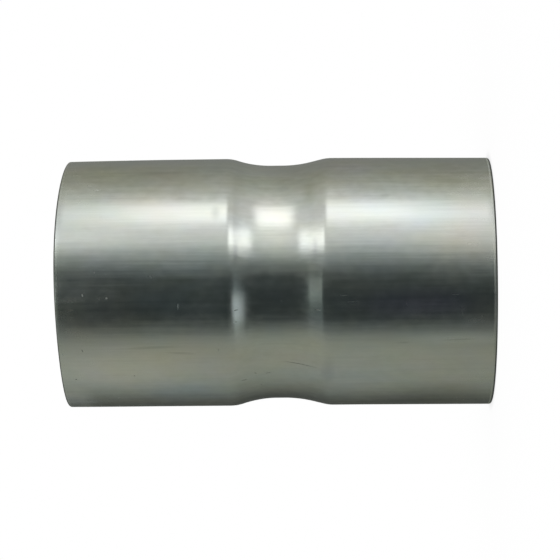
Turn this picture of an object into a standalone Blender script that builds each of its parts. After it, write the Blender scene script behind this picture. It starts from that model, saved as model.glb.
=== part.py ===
"""Pipe coupling sleeve.

A short length of steel tube whose two ends are pressed out into sockets, so that a pipe of the
tube's own size slides into each end and is welded or clamped there. The tube keeps its own size
only at the neck, which is also the stop for the two pipes. It is one piece of metal, turned here
about +Z as it stands on its lower mouth, with the origin at that mouth's centre.
"""

import math

import bpy

# Driving dimensions, in metres.
SLEEVE_LENGTH = 0.092  # from mouth to mouth
PIPE_DIAMETER = 0.0508  # outside of the pipes to be joined, and of the neck
TUBE_WALL = 0.0015  # wall of the tube before its ends are pressed out
SLIP_GAP = 0.0002  # between a pipe and the socket round it, on the radius
NECK_LENGTH = 0.002  # straight part between the two shoulders
DEPTH_DIFFERENCE = 0.001  # the upper socket is this much deeper than the lower one
OUTER_EDGE_RADIUS = 0.00045  # deburred outer edge of each mouth
INNER_EDGE_RADIUS = 0.0003  # deburred inner edge of each mouth

# Each end is pressed out by itself, so the two shoulders differ a little. On the outer surface a
# shoulder is a rounded lip at the socket, a short cone, and a hollow that runs out into the neck.
UPPER_LIP_RADIUS = 0.0088
UPPER_CONE_LENGTH = 0.0003
UPPER_CONE_ANGLE = math.radians(17.6)  # between the cone and the axis
LOWER_LIP_RADIUS = 0.009
LOWER_CONE_LENGTH = 0.0022
LOWER_CONE_ANGLE = math.radians(14.2)

# Facets.
STEPS_AROUND = 96
STEP_ON_SHOULDER = math.radians(4.5)
STEP_ON_EDGE = math.radians(30)

STEEL_COLOUR = (0.50, 0.51, 0.49, 1.0)
STEEL_ROUGHNESS = 0.28

# What follows from the dimensions. Pressing out a socket stretches the tube round its girth and
# leaves its length alone, so the wall thins as the radius grows, and the ring of metal that a
# level cut shows keeps its area. RING_SHARE is that area divided by pi.
NECK_RADIUS = PIPE_DIAMETER / 2
RING_SHARE = NECK_RADIUS**2 - (NECK_RADIUS - TUBE_WALL) ** 2
SOCKET_BORE_RADIUS = NECK_RADIUS + SLIP_GAP
SOCKET_RADIUS = math.sqrt(SOCKET_BORE_RADIUS**2 + RING_SHARE)
SHOULDER_DROP = SOCKET_RADIUS - NECK_RADIUS


def wall_at(radius):
    """The wall's thickness where the outer surface has this radius."""
    return radius - math.sqrt(radius**2 - RING_SHARE)


def angles_to(turn, step):
    """Angles from 0 to the whole turn, evenly spaced by no more than the step."""
    count = math.ceil(turn / step)
    return [turn * i / count for i in range(count + 1)]


def shoulder(lip_radius, cone_length, cone_angle):
    """Points (drop, run, lean) of one shoulder, from the socket to the neck.

    drop is how far the outer surface lies inside the socket's, run the distance along the axis
    from the end of the socket's straight part, and lean the angle between surface and axis. The
    hollow's radius is the one that takes up the rest of the drop and meets the neck tangentially.
    """
    arcs_drop = SHOULDER_DROP - cone_length * math.sin(cone_angle)
    hollow_radius = arcs_drop / (1 - math.cos(cone_angle)) - lip_radius
    run = (lip_radius + hollow_radius) * math.sin(cone_angle) + cone_length * math.cos(cone_angle)
    leans = angles_to(cone_angle, STEP_ON_SHOULDER)
    lip = [(lip_radius * (1 - math.cos(a)), lip_radius * math.sin(a), a) for a in leans]
    hollow = [
        (SHOULDER_DROP - hollow_radius * (1 - math.cos(a)), run - hollow_radius * math.sin(a), a)
        for a in reversed(leans)
    ]
    return lip + hollow


def outer_wall():
    """Points (radius, height, lean) down the outer surface, between the mouths' rounded edges."""
    upper = shoulder(UPPER_LIP_RADIUS, UPPER_CONE_LENGTH, UPPER_CONE_ANGLE)
    lower = shoulder(LOWER_LIP_RADIUS, LOWER_CONE_LENGTH, LOWER_CONE_ANGLE)
    depths = SLEEVE_LENGTH - NECK_LENGTH - upper[-1][1] - lower[-1][1]
    lower_start = (depths - DEPTH_DIFFERENCE) / 2
    upper_start = SLEEVE_LENGTH - (depths + DEPTH_DIFFERENCE) / 2
    wall = [(SOCKET_RADIUS - drop, upper_start - run, lean) for drop, run, lean in upper]
    wall += [(SOCKET_RADIUS - drop, lower_start + run, -lean) for drop, run, lean in reversed(lower)]
    return wall


def bore(outer):
    """The bore's points (radius, height), each square across the wall from an outer point."""
    points = []
    for radius, height, lean in outer:
        wall = wall_at(radius)
        points.append((radius - wall * math.cos(lean), height - wall * math.sin(lean)))
    return points


def rounded_edge(radius, height, edge, outward, upward):
    """Points of a mouth's rounded edge, from the wall to the end face.

    outward is 1 for the outer wall and -1 for the bore, upward 1 for the upper mouth and -1 for
    the lower. The edge never takes more than a third of the wall.
    """
    edge = min(edge, wall_at(SOCKET_RADIUS) / 3)
    return [
        (radius - outward * edge * (1 - math.cos(a)), height - upward * edge * (1 - math.sin(a)))
        for a in angles_to(math.pi / 2, STEP_ON_EDGE)
    ]


def section():
    """The wall's closed outline: down the outer surface, then back up the bore."""
    outer = outer_wall()
    outline = rounded_edge(SOCKET_RADIUS, SLEEVE_LENGTH, OUTER_EDGE_RADIUS, 1, 1)[::-1]
    outline += [(radius, height) for radius, height, lean in outer]
    outline += rounded_edge(SOCKET_RADIUS, 0, OUTER_EDGE_RADIUS, 1, -1)
    outline += rounded_edge(SOCKET_BORE_RADIUS, 0, INNER_EDGE_RADIUS, -1, -1)[::-1]
    outline += reversed(bore(outer))
    outline += rounded_edge(SOCKET_BORE_RADIUS, SLEEVE_LENGTH, INNER_EDGE_RADIUS, -1, 1)
    return outline


def turned(name, outline, collection):
    """A solid of revolution about Z from a closed outline of (radius, height) points."""
    count = len(outline)
    mesh = bpy.data.meshes.new(name)
    points = [(radius, 0, height) for radius, height in outline]
    mesh.from_pydata(points, [(i, (i + 1) % count) for i in range(count)], [])
    piece = bpy.data.objects.new(name, mesh)
    collection.objects.link(piece)
    screw = piece.modifiers.new("turn", "SCREW")
    screw.axis = "Z"
    screw.angle = 2 * math.pi
    screw.steps = STEPS_AROUND
    screw.render_steps = STEPS_AROUND
    screw.use_merge_vertices = True
    screw.merge_threshold = 1e-6
    screw.use_smooth_shade = True
    return piece


def steel():
    """Bare drawn steel, grey and half dull."""
    material = bpy.data.materials.new("steel")
    material.use_nodes = True
    shader = material.node_tree.nodes["Principled BSDF"]
    shader.inputs["Base Color"].default_value = STEEL_COLOUR
    shader.inputs["Metallic"].default_value = 1
    shader.inputs["Roughness"].default_value = STEEL_ROUGHNESS
    return material


def main():
    for thing in list(bpy.data.objects):
        bpy.data.objects.remove(thing)
    collection = bpy.data.collections.new("pipe_coupling_sleeve")
    bpy.context.scene.collection.children.link(collection)
    sleeve = turned("coupling_sleeve", section(), collection)
    sleeve.data.materials.append(steel())


main()
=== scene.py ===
"""Looks of the pipe coupling sleeve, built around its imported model.

The sleeve stands on its lower mouth. The photograph shows it with its axis level, so the camera
lies on its side: image left is +Z and image up is +X. Angles round the sleeve, called around, are
in degrees from the camera's side (-Y), and they grow towards +X.
"""

import math

import bpy
import numpy as np
from mathutils import Matrix, Vector


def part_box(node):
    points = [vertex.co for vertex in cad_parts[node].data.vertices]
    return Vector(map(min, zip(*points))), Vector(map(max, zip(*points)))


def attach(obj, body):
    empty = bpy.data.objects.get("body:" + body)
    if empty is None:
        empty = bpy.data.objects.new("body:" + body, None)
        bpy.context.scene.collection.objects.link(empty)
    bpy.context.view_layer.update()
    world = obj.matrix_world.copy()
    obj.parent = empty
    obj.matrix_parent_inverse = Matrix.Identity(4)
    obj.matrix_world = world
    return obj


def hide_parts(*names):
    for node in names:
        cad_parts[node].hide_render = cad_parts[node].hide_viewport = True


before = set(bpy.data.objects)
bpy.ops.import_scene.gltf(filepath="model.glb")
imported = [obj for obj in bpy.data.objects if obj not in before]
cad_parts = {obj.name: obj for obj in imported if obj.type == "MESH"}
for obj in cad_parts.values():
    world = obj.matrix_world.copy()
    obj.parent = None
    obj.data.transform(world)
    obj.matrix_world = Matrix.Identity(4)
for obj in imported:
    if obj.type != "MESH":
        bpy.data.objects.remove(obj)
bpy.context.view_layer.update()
NODE = "coupling_sleeve"

# The sleeve's sizes, in metres. The length and the sockets' radius come from the frame, and the
# rest says what the part's own source says.
BOX_LOW, BOX_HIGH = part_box(NODE)
SLEEVE_LENGTH = BOX_HIGH.z - BOX_LOW.z
SOCKET_RADIUS = BOX_HIGH.x
NECK_RADIUS = 0.0254
TUBE_WALL = 0.0015
OUTER_EDGE_RADIUS = 0.00045
INNER_EDGE_RADIUS = 0.0003
NECK_LENGTH = 0.002
DEPTH_DIFFERENCE = 0.001
UPPER_LIP_RADIUS = 0.0088
UPPER_CONE_LENGTH = 0.0003
UPPER_CONE_ANGLE = math.radians(17.6)
LOWER_LIP_RADIUS = 0.009
LOWER_CONE_LENGTH = 0.0022
LOWER_CONE_ANGLE = math.radians(14.2)
RING_SHARE = NECK_RADIUS**2 - (NECK_RADIUS - TUBE_WALL) ** 2
SHOULDER_DROP = SOCKET_RADIUS - NECK_RADIUS
SOCKET_BORE_RADIUS = math.sqrt(SOCKET_RADIUS**2 - RING_SHARE)
MIDDLE = Vector((0, 0, SLEEVE_LENGTH / 2))

# How finely the sleeve's surface is drawn.
STEPS_AROUND = 288
STEP_ON_SHOULDER = math.radians(0.8)
STEP_ON_EDGE = math.radians(11.25)
STEP_ON_SOCKET = 0.0015

# What the press and the saw left. The two sockets lean a little towards -X, and draw in from a
# slightly swollen middle towards their mouths. The neck lies a little towards -X and +Z, the upper
# socket is pressed deeper on the -X side than on the +X side, and the upper mouth's cut is wavy.
UPPER_LEAN = math.radians(0.27)
LOWER_LEAN = math.radians(0.42)
MIDDLE_SWELL = 0.00004
UPPER_DRAW_IN = 0.00012
LOWER_DRAW_IN = 0.00017
UPPER_DRAW_POWER = 4
LOWER_DRAW_POWER = 1.15
NECK_SIDESTEP = 0.00007
NECK_RISE = 0.00016
NECK_HEIGHT = 0.05
NECK_REACH = 0.024
SHOULDER_SKEW = 0.00035
SKEW_HEIGHT = 0.052
SKEW_REACH = 0.011
MOUTH_WAVE = 0.00018
MOUTH_WAVES_AROUND = 3
MOUTH_WAVE_TURN = math.radians(30)
MOUTH_WAVE_REACH = 0.006

# The camera, lying on its side.
CAMERA_DISTANCE = 0.4545
CAMERA_YAW = math.radians(1.75)
CAMERA_ROLL = math.radians(0.59)
CAMERA_LENS = 133.12
SENSOR_WIDTH = 36.0
CAMERA_RIGHT = -0.00026
CAMERA_UP = -0.0003


def wall_at(radius):
    """The wall's thickness where the outer surface has this radius."""
    return radius - math.sqrt(radius**2 - RING_SHARE)


def angles_to(turn, step):
    """Angles from 0 to the whole turn, evenly spaced by no more than the step."""
    count = math.ceil(turn / step)
    return [turn * i / count for i in range(count + 1)]


def shoulder(lip_radius, cone_length, cone_angle):
    """Points (drop, run, lean) of one shoulder, from the socket to the neck."""
    arcs_drop = SHOULDER_DROP - cone_length * math.sin(cone_angle)
    hollow_radius = arcs_drop / (1 - math.cos(cone_angle)) - lip_radius
    run = (lip_radius + hollow_radius) * math.sin(cone_angle) + cone_length * math.cos(cone_angle)
    leans = angles_to(cone_angle, STEP_ON_SHOULDER)
    lip = [(lip_radius * (1 - math.cos(a)), lip_radius * math.sin(a), a) for a in leans]
    hollow = [
        (SHOULDER_DROP - hollow_radius * (1 - math.cos(a)), run - hollow_radius * math.sin(a), a)
        for a in reversed(leans)
    ]
    return lip + hollow


def down_the_socket(depth):
    """Distances from the mouth of the rings between a mouth's rounded edge and the lip."""
    count = math.ceil(depth / STEP_ON_SOCKET)
    return [OUTER_EDGE_RADIUS + (depth - OUTER_EDGE_RADIUS) * i / count for i in range(1, count)]


def outer_wall():
    """Points (radius, height, lean) down the outer surface, between the mouths' rounded edges."""
    upper = shoulder(UPPER_LIP_RADIUS, UPPER_CONE_LENGTH, UPPER_CONE_ANGLE)
    lower = shoulder(LOWER_LIP_RADIUS, LOWER_CONE_LENGTH, LOWER_CONE_ANGLE)
    depths = SLEEVE_LENGTH - NECK_LENGTH - upper[-1][1] - lower[-1][1]
    upper_depth = (depths + DEPTH_DIFFERENCE) / 2
    lower_depth = (depths - DEPTH_DIFFERENCE) / 2
    upper_start = SLEEVE_LENGTH - upper_depth
    wall = [(SOCKET_RADIUS, SLEEVE_LENGTH - run, 0) for run in down_the_socket(upper_depth)]
    wall += [(SOCKET_RADIUS - drop, upper_start - run, lean) for drop, run, lean in upper]
    wall += [(SOCKET_RADIUS - drop, lower_depth + run, -lean) for drop, run, lean in reversed(lower)]
    wall += [(SOCKET_RADIUS, run, 0) for run in reversed(down_the_socket(lower_depth))]
    return wall


def bore(outer):
    """The bore's points (radius, height), each square across the wall from an outer point."""
    points = []
    for radius, height, lean in outer:
        wall = wall_at(radius)
        points.append((radius - wall * math.cos(lean), height - wall * math.sin(lean)))
    return points


def rounded_edge(radius, height, edge, outward, upward):
    """Points of a mouth's rounded edge, from the wall to the end face."""
    return [
        (radius - outward * edge * (1 - math.cos(a)), height - upward * edge * (1 - math.sin(a)))
        for a in angles_to(math.pi / 2, STEP_ON_EDGE)
    ]


def section():
    """The wall's closed outline: down the outer surface, then back up the bore."""
    outer = outer_wall()
    outline = rounded_edge(SOCKET_RADIUS, SLEEVE_LENGTH, OUTER_EDGE_RADIUS, 1, 1)[::-1]
    outline += [(radius, height) for radius, height, lean in outer]
    outline += rounded_edge(SOCKET_RADIUS, 0, OUTER_EDGE_RADIUS, 1, -1)
    outline += rounded_edge(SOCKET_BORE_RADIUS, 0, INNER_EDGE_RADIUS, -1, -1)[::-1]
    outline += reversed(bore(outer))
    outline += rounded_edge(SOCKET_BORE_RADIUS, SLEEVE_LENGTH, INNER_EDGE_RADIUS, -1, 1)
    return outline


def bump(height, middle, reach):
    """1 at the middle height, easing to 0 at this reach above and below it."""
    return np.clip(1 - ((height - middle) / reach) ** 2, 0, 1) ** 2


def with_faults(radius, height, around):
    """Points of rings of this radius and height, with the faults of a pressed and sawn tube."""
    from_middle = height - MIDDLE.z
    lean = -np.where(from_middle > 0, UPPER_LEAN, LOWER_LEAN) * np.abs(from_middle)
    share = np.abs(from_middle) / MIDDLE.z
    upper_draw_in = UPPER_DRAW_IN * share**UPPER_DRAW_POWER
    lower_draw_in = LOWER_DRAW_IN * share**LOWER_DRAW_POWER
    radius = radius + MIDDLE_SWELL - np.where(from_middle > 0, upper_draw_in, lower_draw_in)
    near_neck = bump(height, NECK_HEIGHT, NECK_REACH)
    skew = SHOULDER_SKEW * np.sin(around)[None, :] * bump(height, SKEW_HEIGHT, SKEW_REACH)
    reach = np.clip((height - SLEEVE_LENGTH) / MOUTH_WAVE_REACH + 1, 0, 1) ** 2
    wave = MOUTH_WAVE * (np.sin(MOUTH_WAVES_AROUND * around + MOUTH_WAVE_TURN) - 1)[None, :]
    return np.stack(
        [
            radius * np.sin(around)[None, :] + lean - NECK_SIDESTEP * near_neck,
            -radius * np.cos(around)[None, :],
            height + reach * wave + skew + NECK_RISE * near_neck,
        ],
        axis=-1,
    )


def sleeve_piece():
    """The sleeve as a fine closed mesh."""
    outline = np.array(section())
    around = np.arange(STEPS_AROUND) * 2 * math.pi / STEPS_AROUND
    radius = outline[:, 0][:, None]
    height = np.repeat(outline[:, 1][:, None], STEPS_AROUND, 1)
    points = with_faults(radius, height, around)
    rows = len(outline)
    index = np.arange(rows * STEPS_AROUND).reshape(rows, STEPS_AROUND)
    below = np.roll(index, -1, axis=0)
    faces = np.stack(
        [index, below, np.roll(below, -1, axis=1), np.roll(index, -1, axis=1)], axis=-1
    ).reshape(-1, 4)
    mesh = bpy.data.meshes.new("sleeve")
    mesh.from_pydata(points.reshape(-1, 3).tolist(), [], faces.tolist())
    mesh.update()
    mesh.shade_smooth()
    from_mouth = np.minimum(height, SLEEVE_LENGTH - height)
    outer_count = rows // 2
    inside = np.repeat((np.arange(rows) >= outer_count)[:, None], STEPS_AROUND, 1)
    for name, values in (("from_mouth", from_mouth), ("inside", inside)):
        attribute = mesh.attributes.new(name, "FLOAT", "POINT")
        attribute.data.foreach_set("value", values.astype(np.float32).ravel())
    piece = bpy.data.objects.new("sleeve", mesh)
    bpy.context.scene.collection.objects.link(piece)
    return piece


class Graph:
    """Builds shader nodes. A socket or a number may be given wherever a node takes a value."""

    def __init__(self, tree):
        self.tree = tree
        tree.nodes.clear()

    def node(self, kind, inputs=None, **settings):
        made = self.tree.nodes.new(kind)
        for name, value in settings.items():
            setattr(made, name, value)
        for name, value in (inputs or {}).items():
            self.put(value, made.inputs[name])
        return made

    def put(self, value, socket):
        if isinstance(value, bpy.types.NodeSocket):
            self.tree.links.new(value, socket)
        else:
            socket.default_value = value

    def math(self, operation, a, b=0.0, c=0.0):
        return self.node("ShaderNodeMath", {0: a, 1: b, 2: c}, operation=operation).outputs[0]

    def vector(self, operation, a, b=(0, 0, 0), c=(0, 0, 0), output=0):
        inputs = {0: a, 1: b, 2: c}
        return self.node("ShaderNodeVectorMath", inputs, operation=operation).outputs[output]

    def ease(self, value, low, high, at_low=0.0, at_high=1.0):
        """at_low below low, at_high above high, and a smooth change between them."""
        made = self.node(
            "ShaderNodeMapRange",
            {"Value": value, "From Min": low, "From Max": high, "To Min": at_low, "To Max": at_high},
            interpolation_type="SMOOTHSTEP",
        )
        return made.outputs["Result"]

    def blend(self, factor, a, b):
        """Colour a where the factor is 0 and colour b where it is 1."""
        made = self.node("ShaderNodeMix", {0: factor, 6: a, 7: b}, data_type="RGBA")
        return made.outputs[2]

    def noise(self, place, size, along=1.0, detail=2.0, seed=0.0):
        """Noise about 0, in spots of this size that are drawn out this many times along Z."""
        scale = (1 / size, 1 / size, 1 / (size * along))
        spots = self.vector("MULTIPLY_ADD", place, scale, (seed, seed, seed))
        made = self.node("ShaderNodeTexNoise", {"Vector": spots, "Scale": 1, "Detail": detail})
        return self.math("SUBTRACT", made.outputs[0], 0.5)

    def ramp(self, value, stops):
        """A smooth colour ramp. Its stops are (position, colour)."""
        made = self.node("ShaderNodeValToRGB", {"Fac": value})
        made.color_ramp.interpolation = "B_SPLINE"
        elements = made.color_ramp.elements
        elements.remove(elements[1])
        for i, (position, colour) in enumerate(stops):
            element = elements[0] if i == 0 else elements.new(position)
            element.position = position
            element.color = (*colour, 1)
        return made.outputs["Color"]


def camera():
    """A camera on its side, at the photograph's distance and angle."""
    lens = bpy.data.cameras.new("camera")
    lens.lens = CAMERA_LENS
    lens.sensor_width = SENSOR_WIDTH
    lens.clip_start = 0.01
    lens.clip_end = 20
    eye = bpy.data.objects.new("camera", lens)
    bpy.context.scene.collection.objects.link(eye)
    left, up, front = Vector((0, 0, 1)), Vector((1, 0, 0)), Vector((0, -1, 0))
    back = math.cos(CAMERA_YAW) * front - math.sin(CAMERA_YAW) * left
    level = -math.cos(CAMERA_YAW) * left - math.sin(CAMERA_YAW) * front
    right = math.cos(CAMERA_ROLL) * level - math.sin(CAMERA_ROLL) * up
    above = math.sin(CAMERA_ROLL) * level + math.cos(CAMERA_ROLL) * up
    place = MIDDLE + CAMERA_DISTANCE * back - CAMERA_RIGHT * right - CAMERA_UP * above
    turn = Matrix((right, above, back)).transposed().to_4x4()
    eye.matrix_world = Matrix.Translation(place) @ turn
    bpy.context.scene.camera = eye


# The studio. A white world lights the floor and fills the background, and a tent of soft light
# round the sleeve is seen only in the metal. The tent's tones go by the angle around and, far to
# either side of the camera, change over to the side tones. A tone of 1 is white cloth. The panels
# are soft lamps on it: middle, half size and soft edge around, then the lower edge, upper edge and
# softness along, and the colour. All angles are in degrees, and along is the angle above the middle.
FLOOR_SIZE = 6
FLOOR_SHADE_REACH = 0.002
FLOOR_SHADE = 0.25
FLOOR_WIDE_SHADE = 0.05
TENT_RADIUS = 1.3
TENT_SIDES = (18, 41)
FRONT_TONES = (
    (-180, 0.18), (-160, 0.08), (-145, 0.062), (-120, 0.27), (-100, 0.40), (-60, 0.40), (-50, 0.32),
    (-40, 0.065), (-30, 0.042), (0, 0.06), (10, 0.09), (20, 0.33), (30, 0.56), (40, 1.05),
    (52, 1.13), (66, 0.90), (80, 0.82), (92, 0.66), (110, 0.37), (140, 0.31), (180, 0.20),
)
SIDE_TONES = (
    (-180, 0.24), (-110, 0.30), (-70, 0.46), (-45, 0.41), (-20, 0.25), (10, 0.17), (20, 0.24),
    (30, 0.39), (40, 0.56), (52, 0.64), (70, 0.54), (90, 0.45), (120, 0.35), (180, 0.24),
)
TENT_TINTS = (
    (-180, (0.95, 1, 0.92)), (-130, (0.93, 1, 0.90)), (-100, (0.94, 1, 0.87)), (-70, (1, 1, 0.82)),
    (-45, (0.91, 1, 0.91)), (-30, (0.81, 1, 1.17)), (0, (0.83, 1, 1.10)), (20, (0.89, 1, 0.94)),
    (40, (1, 1, 0.99)), (70, (1, 1, 1)), (90, (0.98, 1, 0.92)), (115, (0.98, 1, 0.81)),
    (145, (0.99, 1, 0.95)), (180, (0.95, 1, 0.92)),
)
TENT_PANELS = (
    (67, 4.5, 12, -9, 10.5, 9, (0.97, 0.97, 0.99)),
    (43, 5, 8, -33, -14.5, 8, (1.12, 1.11, 1.11)),
    (41, 6, 6, 17, 38, 5.5, (0.98, 0.99, 1.01)),
    (-26, 8, 11.5, -45, -24, 12, (0.46, 0.49, 0.51)),
    (-9, 8, 9, 28.3, 42, 9, (0.48, 0.53, 0.49)),
)


def white_world():
    world = bpy.data.worlds.new("white_world")
    world.use_nodes = True
    graph = Graph(world.node_tree)
    light = graph.node("ShaderNodeBackground", {"Color": (1, 1, 1, 1), "Strength": 1})
    graph.node("ShaderNodeOutputWorld", {"Surface": light.outputs[0]})
    world.cycles_visibility.glossy = False
    bpy.context.scene.world = world


def tent_material():
    material = bpy.data.materials.new("tent_cloth")
    material.use_nodes = True
    graph = Graph(material.node_tree)
    place = graph.node("ShaderNodeTexCoord").outputs["Object"]
    way = graph.node("ShaderNodeSeparateXYZ", {0: graph.vector("NORMALIZE", place)}).outputs
    around = graph.math("ARCTAN2", way["X"], graph.math("MULTIPLY", way["Y"], -1))
    around = graph.math("DEGREES", around)
    along = graph.math("DEGREES", graph.math("ARCSINE", way["Z"]))
    turn = graph.math("MULTIPLY_ADD", around, 1 / 360, 0.5)
    front, side = (
        graph.ramp(turn, [(degrees / 360 + 0.5, (tone, tone, tone)) for degrees, tone in tones])
        for tones in (FRONT_TONES, SIDE_TONES)
    )
    aside = graph.ease(graph.math("ABSOLUTE", along), *TENT_SIDES)
    tint = graph.ramp(turn, [(degrees / 360 + 0.5, colour) for degrees, colour in TENT_TINTS])
    cloth = graph.vector("MULTIPLY", graph.blend(aside, front, side), tint)
    for middle, half, soft_around, low, high, soft_along, lamp in TENT_PANELS:
        off_middle = graph.math("ABSOLUTE", graph.math("SUBTRACT", around, middle))
        panel = graph.ease(off_middle, half, half + soft_around, 1, 0)
        for edge, below, above in ((low, 0, 1), (high, 1, 0)):
            end = graph.ease(along, edge - soft_along / 2, edge + soft_along / 2, below, above)
            panel = graph.math("MULTIPLY", panel, end)
        cloth = graph.vector("MULTIPLY_ADD", panel, lamp, cloth)
    light = graph.node("ShaderNodeEmission", {"Color": cloth, "Strength": 1})
    graph.node("ShaderNodeOutputMaterial", {"Surface": light.outputs[0]})
    return material


def tent():
    bpy.ops.mesh.primitive_uv_sphere_add(
        segments=96, ring_count=48, radius=TENT_RADIUS, location=MIDDLE
    )
    made = bpy.context.object
    made.name = "light_tent"
    made.data.materials.append(tent_material())
    made.visible_camera = False
    made.visible_diffuse = False
    made.visible_transmission = False
    made.visible_volume_scatter = False
    made.visible_shadow = False


def floor_material():
    """White, with a close shade at the sleeve's foot and a faint wide one beyond it."""
    material = bpy.data.materials.new("floor_white")
    material.use_nodes = True
    graph = Graph(material.node_tree)
    close = graph.node("ShaderNodeAmbientOcclusion", {"Distance": FLOOR_SHADE_REACH}, samples=16)
    shade = graph.math("MULTIPLY_ADD", close.outputs["AO"], FLOOR_SHADE, 1 - FLOOR_SHADE)
    plain = graph.node("ShaderNodeEmission", {"Strength": shade})
    matt = graph.node("ShaderNodeBsdfDiffuse", {"Color": (1, 1, 1, 1)})
    shares = {0: FLOOR_WIDE_SHADE, 1: plain.outputs[0], 2: matt.outputs[0]}
    both = graph.node("ShaderNodeMixShader", shares)
    graph.node("ShaderNodeOutputMaterial", {"Surface": both.outputs[0]})
    return material


def floor():
    bpy.ops.mesh.primitive_plane_add(size=FLOOR_SIZE, location=(0, 0, 0))
    made = bpy.context.object
    made.name = "floor"
    made.data.materials.append(floor_material())
    made.visible_glossy = False


# The metal. Its zones go by the distance from the nearer mouth, in metres. A pair of values says where
# a zone's soft edge starts and where it ends. Near each mouth's edge lie a dark rim and, inside it, a
# line that is painted bright as a highlight and is also duller. At the lower end, which starts between
# two heights, the rim is wider and both are stronger.
END_FACE_ZONE = (0.00001, 0.00003)
NEAR_MOUTH_ZONE = (0.002, 0.026)
PRESSED_ZONE = (0.0348, 0.0364)
DARK_RIM_START = 0.00018
DARK_RIM_END = 0.0004
DARK_RIM_STRENGTH = 0.65
PAINTED_HIGHLIGHT_LINE = 0.00062
PAINTED_HIGHLIGHT_HALF_WIDTH = 0.00022
PAINTED_HIGHLIGHT_STRENGTH = 0.06
LOWER_END_HEIGHTS = (0.03, 0.05)
LOWER_RIM_WIDER = 0.0001
LOWER_RIM_STRONGER = 0.16
LOWER_PAINTED_HIGHLIGHT_STRONGER = 0.14

# Marks and patches are (around, height, half length along Z, half width, turn): degrees for the
# angles and millimetres for the rest. A patch also has the colour that the metal's own is multiplied
# by. The patches are thin film and haze in part, and in part a painted highlight where they lighten
# the metal and painted shade where they darken it. The patches go from the upper socket over the neck
# to the lower one.
WARM_STEEL = (0.565, 0.562, 0.505, 1)
COOL_STEEL = (0.515, 0.558, 0.547, 1)
FILM_AND_PAINTED_LIGHT_PATCHES = (
    ((-5, 91, 18, 4.5, 0), (1.45, 1.43, 1.46)),
    ((-70, 90, 7, 9, 0), (1.60, 1.60, 1.70)),
    ((18, 88, 20, 4.6, 0), (1.23, 1.22, 1.19)),
    ((-45, 85, 35, 11.5, 0), (1.26, 1.25, 1.30)),
    ((-17, 84, 5, 2.5, 0), (0.87, 0.87, 0.88)),
    ((61, 83, 15, 6, 0), (1.00, 1.00, 0.93)),
    ((47, 80, 29, 12, 0), (0.92, 0.915, 0.885)),
    ((-7, 73, 4.5, 2.5, 0), (1.13, 1.13, 1.13)),
    ((-10, 68, 15, 4.6, 0), (0.92, 0.98, 1.05)),
    ((1, 66, 7, 2.0, 0), (0.82, 0.83, 0.78)),
    ((-60, 66, 14, 8, 0), (0.95, 1.00, 1.10)),
    ((32.5, 58.4, 1.4, 2.7, 0), (0.84, 0.85, 0.86)),
    ((-12, 55.3, 0.9, 7, 0), (1.40, 1.35, 1.35)),
    ((14, 54.1, 0.9, 3.5, 0), (0.84, 0.84, 0.87)),
    ((-14, 52.0, 0.9, 7, 0), (0.85, 0.85, 0.85)),
    ((62, 50, 9, 15, 0), (1.18, 1.18, 1.20)),
    ((20, 46, 6.5, 10, 0), (1.18, 1.18, 1.15)),
    ((46, 38.8, 2.2, 5.5, 0), (0.86, 0.87, 0.82)),
    ((15, 37.6, 0.9, 3.5, 0), (0.86, 0.86, 0.88)),
    ((-46, 35.3, 2.2, 6, 0), (0.88, 0.89, 0.90)),
    ((-47, 33, 13, 8, 0), (0.97, 1.00, 1.09)),
    ((62, 30, 10, 6, 0), (1.00, 1.00, 1.09)),
    ((15, 26, 7, 4.5, 0), (0.94, 0.97, 1.02)),
    ((-10, 17, 19, 4.6, 0), (1.00, 0.92, 1.13)),
    ((-68, 12, 17, 9.5, 0), (0.74, 0.73, 0.70)),
    ((-26.5, 8, 16, 2.2, 0), (1.24, 1.24, 1.24)),
    ((17, 8, 14, 7, 0), (1.09, 1.04, 0.99)),
    ((45, 8, 15, 13, 0), (0.92, 0.92, 0.88)),
    ((-11, 7, 12, 5, 0), (0.86, 0.85, 0.88)),
)
LIGHT_MARKS = (
    (47.2, 83.5, 0.85, 0.16, 2),
    (-6.7, 80.9, 0.28, 0.26, 0),
    (-5.3, 85.9, 0.14, 0.36, 10),
    (-10.6, 66.1, 0.13, 0.85, -4),
    (-33.3, 90.7, 0.22, 0.28, 0),
)
FAINT_MARKS = (
    (-9.0, 44.7, 0.14, 0.42, 10),
    (-9.2, 30.0, 2.60, 0.13, 4),
    (-6.4, 31.6, 1.60, 0.13, 1),
    (-10.3, 18.9, 0.13, 0.60, 0),
    (-14.6, 7.3, 0.12, 1.30, 0),
    (-6.5, 8.8, 1.50, 0.12, 0),
    (2.6, 71.7, 0.40, 0.16, -50),
    (4.6, 83.4, 0.25, 0.30, 0),
    (-7.0, 82.4, 0.20, 0.22, 0),
)
DARK_MARKS = (
    (-11.9, 88.5, 1.00, 0.14, 0),
    (-48.4, 88.5, 0.32, 0.24, 30),
    (-46.3, 76.1, 0.20, 0.26, 0),
    (-31.3, 86.5, 0.14, 0.50, 20),
    (-42.4, 41.2, 4.60, 0.16, -9),
    (-52.1, 53.0, 0.90, 0.15, 3),
    (-58.8, 49.5, 0.26, 0.18, 0),
    (-48.4, 50.6, 0.50, 0.15, -40),
    (-49.2, 47.9, 0.85, 0.13, 4),
    (-31.4, 58.0, 0.18, 0.20, 0),
    (-12.7, 54.2, 0.60, 0.13, 8),
    (-18.2, 54.3, 0.50, 0.13, -6),
    (-13.0, 37.2, 0.75, 0.14, 0),
)
SMUDGES = (
    (41.7, 22.8, 1.8, 0.9, 0),
    (-27.4, 8.0, 5.0, 0.35, 2),
    (-28.6, 19.5, 2.0, 0.30, 0),
    (-30.0, 72.0, 8.0, 0.5, 2),
    (-33.0, 66.0, 4.0, 0.4, -3),
    (60.0, 71.0, 9.0, 1.2, 2),
)


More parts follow.
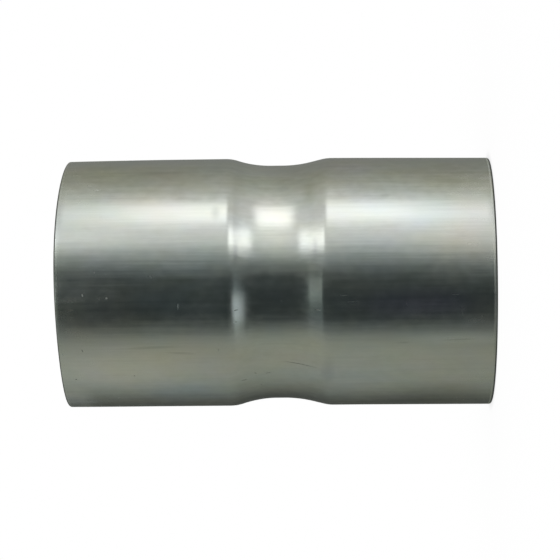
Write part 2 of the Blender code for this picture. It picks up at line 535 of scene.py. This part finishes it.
def spot(graph, sheet, place, soft):
    """A mask of one ellipse on the unrolled surface: 1 inside, and 0 past its soft edge."""
    around, height, half_length, half_width, turn = place
    local = graph.node(
        "ShaderNodeMapping",
        {
            "Vector": sheet,
            "Location": (math.radians(around) * SOCKET_RADIUS, height / 1000, 0),
            "Rotation": (0, 0, math.radians(turn)),
            "Scale": (half_width / 1000, half_length / 1000, 1),
        },
        vector_type="TEXTURE",
    ).outputs[0]
    return graph.ease(graph.vector("LENGTH", local, output="Value"), 1 - soft, 1, 1, 0)


def marks(graph, sheet, places, soft):
    """A mask of small elongated marks on the unrolled surface, 0 to 1."""
    mask = 0.0
    for place in places:
        mask = graph.math("MAXIMUM", mask, spot(graph, sheet, place, soft))
    return mask


def steel():
    """Drawn steel: lines along the tube, clouds of tint and dullness, marks of use, painted highlights
    and shade.
    """
    material = bpy.data.materials.new("steel")
    material.use_nodes = True
    graph = Graph(material.node_tree)
    place = graph.node("ShaderNodeTexCoord").outputs["Object"]
    axes = graph.node("ShaderNodeSeparateXYZ", {0: place}).outputs
    around = graph.math("ARCTAN2", axes["X"], graph.math("MULTIPLY", axes["Y"], -1))
    arc = graph.math("MULTIPLY", around, SOCKET_RADIUS)
    sheet = graph.node("ShaderNodeCombineXYZ", {"X": arc, "Y": axes["Z"]}).outputs[0]
    from_mouth = graph.node("ShaderNodeAttribute", attribute_name="from_mouth").outputs["Fac"]
    inside = graph.node("ShaderNodeAttribute", attribute_name="inside").outputs["Fac"]

    lines = graph.noise(place, size=0.0009, along=40, detail=3)
    hairs = graph.noise(place, size=0.0003, along=60, detail=2, seed=3)
    bands = graph.noise(place, size=0.0035, along=14, detail=3, seed=6)
    clouds = graph.noise(place, size=0.012, along=1.6, detail=3, seed=5)
    film = graph.noise(place, size=0.016, along=1.3, detail=3, seed=9)
    red_film = graph.noise(place, size=0.006, along=1.6, detail=3, seed=12)
    blue_film = graph.noise(place, size=0.005, along=1.6, detail=3, seed=15)
    mottle = graph.noise(place, size=0.002, along=1.2, detail=2, seed=21)
    saw = graph.noise(graph.vector("MULTIPLY", place, (1, 0.04, 1)), size=0.0004, detail=2, seed=2)

    light_marks = marks(graph, sheet, LIGHT_MARKS, soft=0.7)
    faint_marks = marks(graph, sheet, FAINT_MARKS, soft=0.9)
    dark_marks = marks(graph, sheet, DARK_MARKS, soft=0.7)
    smudges = marks(graph, sheet, SMUDGES, soft=1)
    near_mouth = graph.ease(from_mouth, *NEAR_MOUTH_ZONE, 1, 0)
    pressed = graph.ease(from_mouth, *PRESSED_ZONE)
    end_face = graph.ease(from_mouth, *END_FACE_ZONE, 1, 0)
    outside = graph.math("SUBTRACT", graph.math("SUBTRACT", 1, inside), end_face)
    lower_end = graph.ease(axes["Z"], *LOWER_END_HEIGHTS, 1, 0)
    rim_end = graph.math("MULTIPLY_ADD", lower_end, LOWER_RIM_WIDER, DARK_RIM_END)
    rim_strength = graph.math("MULTIPLY_ADD", lower_end, LOWER_RIM_STRONGER, DARK_RIM_STRENGTH)
    dark_rim = graph.ease(from_mouth, DARK_RIM_START, rim_end, 1, 0)
    dark_rim = graph.math("MULTIPLY", graph.math("MULTIPLY", dark_rim, outside), rim_strength)
    # The bright line inside each mouth's dark rim is a painted highlight, and the metal is also made
    # duller there.
    painted_highlight_strength = graph.math("MULTIPLY_ADD", lower_end, LOWER_PAINTED_HIGHLIGHT_STRONGER, PAINTED_HIGHLIGHT_STRENGTH)
    off_line = graph.math("ABSOLUTE", graph.math("SUBTRACT", from_mouth, PAINTED_HIGHLIGHT_LINE))
    painted_highlight_line = graph.ease(off_line, 0, PAINTED_HIGHLIGHT_HALF_WIDTH, 1, 0)
    painted_highlight_line = graph.math("MULTIPLY", graph.math("MULTIPLY", painted_highlight_line, outside), painted_highlight_strength)

    colour = graph.blend(graph.math("MULTIPLY_ADD", film, 1.5, 0.5), COOL_STEEL, WARM_STEEL)
    red = graph.math("MULTIPLY_ADD", red_film, 0.12, 1)
    blue = graph.math("MULTIPLY_ADD", blue_film, 0.2, 1)
    hue = graph.node("ShaderNodeCombineXYZ", {"X": red, "Y": 1, "Z": blue}).outputs[0]
    colour = graph.vector("MULTIPLY", colour, hue)
    # Each patch multiplies the colour: thin film in part, and in part a painted highlight or painted
    # shade.
    for patch, tint in FILM_AND_PAINTED_LIGHT_PATCHES:
        mask = spot(graph, sheet, patch, soft=0.95)
        added = tuple(part - 1 for part in tint)
        colour = graph.vector("MULTIPLY", colour, graph.vector("MULTIPLY_ADD", mask, added, (1, 1, 1)))
    shade = 1.0
    # The bright line near each mouth in this list is a painted highlight.
    for mask, amount in (
        (lines, 0.11), (hairs, 0.115), (bands, 0.08), (mottle, 0.16), (clouds, 0.12),
        (smudges, -0.12), (dark_marks, -0.4), (light_marks, 0.10), (inside, -0.15),
        (dark_rim, -1), (painted_highlight_line, 1), (near_mouth, -0.03),
    ):
        shade = graph.math("MULTIPLY_ADD", mask, amount, shade)
    colour = graph.vector("MULTIPLY", colour, shade)

    dullness = 0.20
    for mask, amount in (
        (lines, 0.12), (mottle, 0.10), (clouds, 0.12), (smudges, 0.03), (dark_marks, 0.12),
        (light_marks, 0.30), (faint_marks, 0.10), (near_mouth, 0.045), (pressed, -0.02),
        (inside, 0.10), (dark_rim, 0.2), (painted_highlight_line, 1), (end_face, 0.18),
    ):
        dullness = graph.math("MULTIPLY_ADD", mask, amount, dullness)

    relief = 0.0
    for mask, metres in (
        (lines, 8e-6), (hairs, 2e-6), (bands, 2.5e-5), (clouds, 5e-5),
        (dark_marks, -1.5e-5), (light_marks, 1e-5), (graph.math("MULTIPLY", saw, end_face), 1e-5),
    ):
        relief = graph.math("MULTIPLY_ADD", mask, metres, relief)
    bumps = graph.node("ShaderNodeBump", {"Strength": 1, "Distance": 1, "Height": relief})
    along = graph.node("ShaderNodeTangent", direction_type="RADIAL", axis="Z")

    shader = graph.node(
        "ShaderNodeBsdfPrincipled",
        {
            "Base Color": colour,
            "Metallic": 1,
            "Roughness": dullness,
            "Anisotropic": 0.7,
            "Tangent": along.outputs[0],
            "Normal": bumps.outputs[0],
        },
    )
    graph.node("ShaderNodeOutputMaterial", {"Surface": shader.outputs[0]})
    return material


def main():
    camera()
    white_world()
    tent()
    floor()
    piece = sleeve_piece()
    piece.data.materials.append(steel())
    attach(piece, "root")
    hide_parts(NODE)
    bpy.context.scene.view_settings.view_transform = "Standard"


main()
